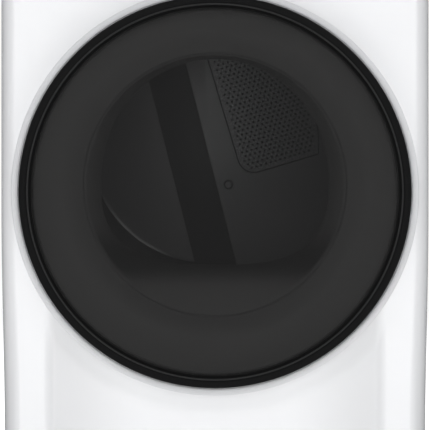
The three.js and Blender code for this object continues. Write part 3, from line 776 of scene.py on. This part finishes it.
seal_rubber = finish("seal_rubber", (0.02, 0.02, 0.022), 0.75, grain=500, depth=0.2)
section = [(0.2662, -0.3605), (0.2838, -0.3605), (0.2838, -0.3575), (0.2815, -0.3565), (0.2822, -0.3500),
           (0.2800, -0.3425), (0.2770, -0.3411), (0.2720, -0.3411), (0.2700, -0.3425), (0.2680, -0.3500),
           (0.2688, -0.3565), (0.2662, -0.3575)]
gasket = turned("gasket_ring", section, 0, door_z, 128)
fit(gasket, seal_rubber, "door", "rubber_seal", "door_gasket")


# Throat and felt seals -----------------------------------------------------------------
# A pressed steel bulkhead whose sleeve carries the drum's front edge on a felt ring.
# A second felt ring closes the gap between the drum's open back and the rear bulkhead.

drum_z = 0.565
section = [(0.2450, -0.2990), (0.3400, -0.2990), (0.3400, -0.2975), (0.2480, -0.2975), (0.2465, -0.2960),
           (0.2465, -0.2362), (0.2450, -0.2362)]
throat = turned("throat_sheet", section, 0, drum_z, 160)
cut_away(throat, block("filter_slot", (-0.132, -0.272, 0.300), (0.132, -0.252, 0.366)))
fit(throat, zinc, "cabinet", "galvanised", "front_bulkhead")

felt = finish("wool_felt", (0.27, 0.26, 0.24), 0.95, grain=1400, depth=0.6, tint=0.12)
section = [(0.2472, -0.2378), (0.2485, -0.2330), (0.2510, -0.2325), (0.2985, -0.2325), (0.3000, -0.2335),
           (0.3000, -0.2378)]
front_felt = turned("front_felt", section, 0, drum_z, 128)
fit(front_felt, felt, "cabinet", "felt", "front_felt_seal")
section = [(0.3142, 0.2924), (0.3142, 0.2995), (0.3298, 0.2995), (0.3298, 0.2935), (0.3288, 0.2925),
           (0.3152, 0.2925)]
rear_felt = turned("rear_felt", section, 0, drum_z, 128)
fit(rear_felt, felt, "cabinet", "felt", "rear_felt_seal")


# Drum -------------------------------------------------------------------------------------
# A rolled steel shell with a turned-in front lip and two rolled grooves, and three moulded lifters
# screwed inside.

drum_steel = finish("drum_steel", (0.50, 0.51, 0.53), 0.36, metal=0.9, grain=260, depth=0.05,
                    stretch=(1, 14, 1))
section = [(0.2622, -0.2306), (0.2630, -0.2319), (0.3262, -0.2319), (0.3278, -0.2303), (0.3278, -0.0650),
           (0.3262, -0.0630), (0.3262, -0.0570), (0.3278, -0.0550), (0.3278, 0.1450), (0.3262, 0.1470),
           (0.3262, 0.1530), (0.3278, 0.1550), (0.3278, 0.2918), (0.3265, 0.2918), (0.3265, 0.1560),
           (0.3249, 0.1535), (0.3249, 0.1465), (0.3265, 0.1440), (0.3265, -0.0540), (0.3249, -0.0565),
           (0.3249, -0.0635), (0.3265, -0.0660), (0.3265, -0.2290), (0.3250, -0.2306)]
shell = turned("drum_skin", section, 0, drum_z, 160)
fit(shell, drum_steel, "drum", "drum_steel", "drum_shell")

lifter_plastic = finish("lifter_plastic", (0.42, 0.42, 0.43), 0.5, grain=900, depth=0.1)
half_outline = [(0.0345, -0.3232), (0.0215, -0.290), (0.0128, -0.2705), (0.0070, -0.2642)]
corners = [(-0.0345, -0.3232), *half_outline, *((-x, z) for x, z in reversed(half_outline[1:]))]
for i in range(3):
    lifter = plate(f"lifter_{i + 1}", corners, -0.205, 0.268, 0.003, 3)
    turn = i * 2 * math.pi / 3
    for vertex in lifter.data.vertices:
        x, y, z = vertex.co
        vertex.co = (x * math.cos(turn) + z * math.sin(turn), y,
                     -x * math.sin(turn) + z * math.cos(turn) + drum_z)
    fit(lifter, lifter_plastic, "drum", "lifter_plastic", f"drum_lifter_{i + 1}")


# Rear bulkhead, back plate, inlet grille and lamp ------------------------------------------------
# A steel sheet, coloured near black as painted shade for the channel's floor, closes the cabinet behind the
# drum.
# On it a round raised plate, split by a slanted deep channel, carries the perforated air inlet, a small boss
# and the drum lamp's lens.

# painted shade: the near-black colour of the rear bulkhead stands in for the shadow on the floor of the
# channel
bulkhead_painted_shade = finish("bulkhead_painted_shade", (0.020, 0.020, 0.020), 0.6, grain=300, depth=0.05)
heat_tarnished = finish("heat_tarnished", (0.035, 0.032, 0.030), 0.55, metal=0.3, grain=120, depth=0.08,
                        tint=0.2)
pad_steel = finish("pad_steel", (0.20, 0.20, 0.20), 0.5, grain=500, depth=0.04, tint=0.03)
paint(bulkhead_painted_shade, "rear_bulkhead")
paint(heat_tarnished, "heater_housing")

pad_x, pad_z = -0.0133, 0.6487
pad_front, pad_back = 0.2882, 0.2994
channel_x, channel_half_width = -0.033, 0.038
channel_tilt = math.radians(14.2)


def tilted(u, v, tilt, x=0.0, z=0.0):
    """The point u along and v up a frame that is tilted about (x, z)."""
    return x + u * math.cos(tilt) - v * math.sin(tilt), z + u * math.sin(tilt) + v * math.cos(tilt)


def beside_channel(u0, u1, tall=0.45):
    corners = ((u0, -tall), (u1, -tall), (u1, tall), (u0, tall))
    return plate("channel", [tilted(u, v, channel_tilt, channel_x, door_z) for u, v in corners], 0.28, 0.31)


section = [(0, pad_front), (0.2158, pad_front), (0.2176, 0.2888), (0.2216, 0.2924), (0.2226, 0.2942),
           (0.2228, pad_back), (0, pad_back)]
back_plate = turned("back_pads", section, pad_x, pad_z, 160)
cut_away(back_plate, beside_channel(-channel_half_width, 0.50))
section = [(0, pad_front), (0.2590, pad_front), (0.2616, 0.2900), (0.2620, pad_back), (0, pad_back)]
right_pad = turned("right_pad", section, 0.0, 0.600, 160)
cut_away(right_pad, beside_channel(-0.50, channel_half_width))
join(back_plate, right_pad)

grille_tilt = math.radians(16.7)
grille_x, grille_z = 0.0535, door_z + 0.0296
grille_radius, grille_corner = 0.208, 0.030


def grille_outline(inset):
    """A quarter of a disc with its inner corner rounded, its straight sides drawn in by inset."""
    along, up = tilted(1, 0, grille_tilt), tilted(0, 1, grille_tilt)
    start = (grille_x + (along[0] + up[0]) * inset, grille_z + (along[1] + up[1]) * inset)
    radius = grille_radius - inset

    def reach(way):
        x, z = start[0] - pad_x, start[1] - pad_z
        b = x * way[0] + z * way[1]
        return -b + math.sqrt(b * b - (x * x + z * z - radius * radius))

    def bearing(way):
        x, z = (start[k] + way[k] * reach(way) for k in (0, 1))
        return math.atan2(z - pad_z, x - pad_x)

    rounding = grille_corner - inset
    corner = []
    for i in range(9):
        turn = math.pi / 2 * i / 8
        u, v = rounding * (1 - math.sin(turn)), rounding * (1 - math.cos(turn))
        corner.append((start[0] + along[0] * u + up[0] * v, start[1] + along[1] * u + up[1] * v))
    first, last = bearing(along), bearing(up)
    rim = [first + (last - first) * i / 40 for i in range(41)]
    return corner[::-1] + [(pad_x + radius * math.cos(a), pad_z + radius * math.sin(a)) for a in rim]


boss_x, boss_z = 0.0255, 0.573
cut_away(back_plate, plate("grille_recess", grille_outline(-0.0022), 0.28, 0.31))
cut_away(back_plate, drill(boss_x, 0.29, boss_z, 0.0090, 0.04))
section = [(0, 0.2866), (0.0040, 0.2868), (0.0058, 0.2874), (0.0066, 0.2886), (0.0066, pad_back),
           (0, pad_back)]
join(back_plate, turned("boss", section, boss_x, boss_z, 48))
fit(back_plate, pad_steel, "cabinet", "drum_steel", "drum_back", angle=40)

# the grille is punched with rows of small holes, every other row moved over by half a pitch
grille = plate("grille_sheet", grille_outline(0.0), 0.2862, 0.2874)
pitch, margin = 0.0094, 0.010
row_pitch = pitch * math.sqrt(3) / 2
punch = drill(0, 0.287, 0, 0.0024, 0.01, 6)
bpy.ops.object.transform_apply(location=True, rotation=True, scale=True)
punch_shape = punch.data.copy()
drop(punch)
punches = []
for i in range(60):
    for j in range(60):
        u = margin + i * pitch + (pitch / 2 if j % 2 else 0)
        v = margin + j * row_pitch
        x, z = tilted(u, v, grille_tilt, grille_x, grille_z)
        in_corner = u < grille_corner and v < grille_corner
        off_corner = in_corner and math.hypot(u - grille_corner, v - grille_corner) > 0.0235
        if math.hypot(x - pad_x, z - pad_z) >= 0.1985 or off_corner:
            continue
        punch = bpy.data.objects.new("hole", punch_shape.copy())
        for vertex in punch.data.vertices:
            vertex.co.x += x
            vertex.co.z += z
        bpy.context.collection.objects.link(punch)
        punches.append(punch)
join(*punches)
cut_away(grille, punches[0])
fit(grille, pad_steel, "cabinet", "drum_steel", "inlet_grille", angle=20)

frosted = finish("frosted_lens", (0.85, 0.84, 0.8), 0.3, grain=300, depth=0.2)
section = [(0, 0.2812), (0.006, 0.2815), (0.011, 0.2827), (0.0145, 0.2846), (0.0158, 0.2866),
           (0.0158, 0.2876), (0, 0.2876)]
lens = turned("lamp_dome", section, -0.165, 0.795, 48)
fit(lens, frosted, "cabinet", "window_glass", "lamp_lens")
lamp("drum_lamp", (-0.012, 0.175, 0.705), (-0.012, 0.29, 0.705), 0.04, 0.22, 0.042)
lamp("low_glint", (-0.190, 0.2930, 0.438), (pad_x, 0.2930, pad_z), 0.006, 0.16, 0.022)


# Drum rollers, motor, belt, idler and lint filter ---------------------------------------------------
# Rubber-tyred rollers on steel axles, a painted motor strapped in its cradle, a ribbed belt with its
# tensioner, and a grey plastic lint filter in the throat's slot.

roller_rubber = finish("roller_rubber", (0.045, 0.045, 0.048), 0.75, grain=600, depth=0.2)
motor_paint = finish("motor_paint", (0.14, 0.16, 0.18), 0.4, grain=300, depth=0.08)
belt_rubber = finish("belt_rubber", (0.018, 0.018, 0.019), 0.8, grain=900, depth=0.3)
filter_plastic = finish("filter_plastic", (0.25, 0.255, 0.27), 0.5, grain=700, depth=0.1)
roller_x, roller_z = 0.2102, 0.2648
section = [(0.0065, 0.2621), (0.0138, 0.2621), (0.0142, 0.2645), (0.0300, 0.2660), (0.0345, 0.2665),
           (0.0372, 0.2675), (0.0379, 0.2695), (0.0379, 0.2745), (0.0372, 0.2765), (0.0345, 0.2775),
           (0.0300, 0.2780), (0.0142, 0.2795), (0.0138, 0.2819), (0.0065, 0.2819)]
for side, x in (("left", -roller_x), ("right", roller_x)):
    roller = turned(f"roller_{side}_tyre", section, x, roller_z, 64)
    fit(roller, roller_rubber, f"roller_{side}", "roller_rubber", f"drum_roller_{side}")
paint(motor_paint, "motor_housing")
paint(belt_rubber, "drum_belt")
paint(filter_plastic, "lint_filter")
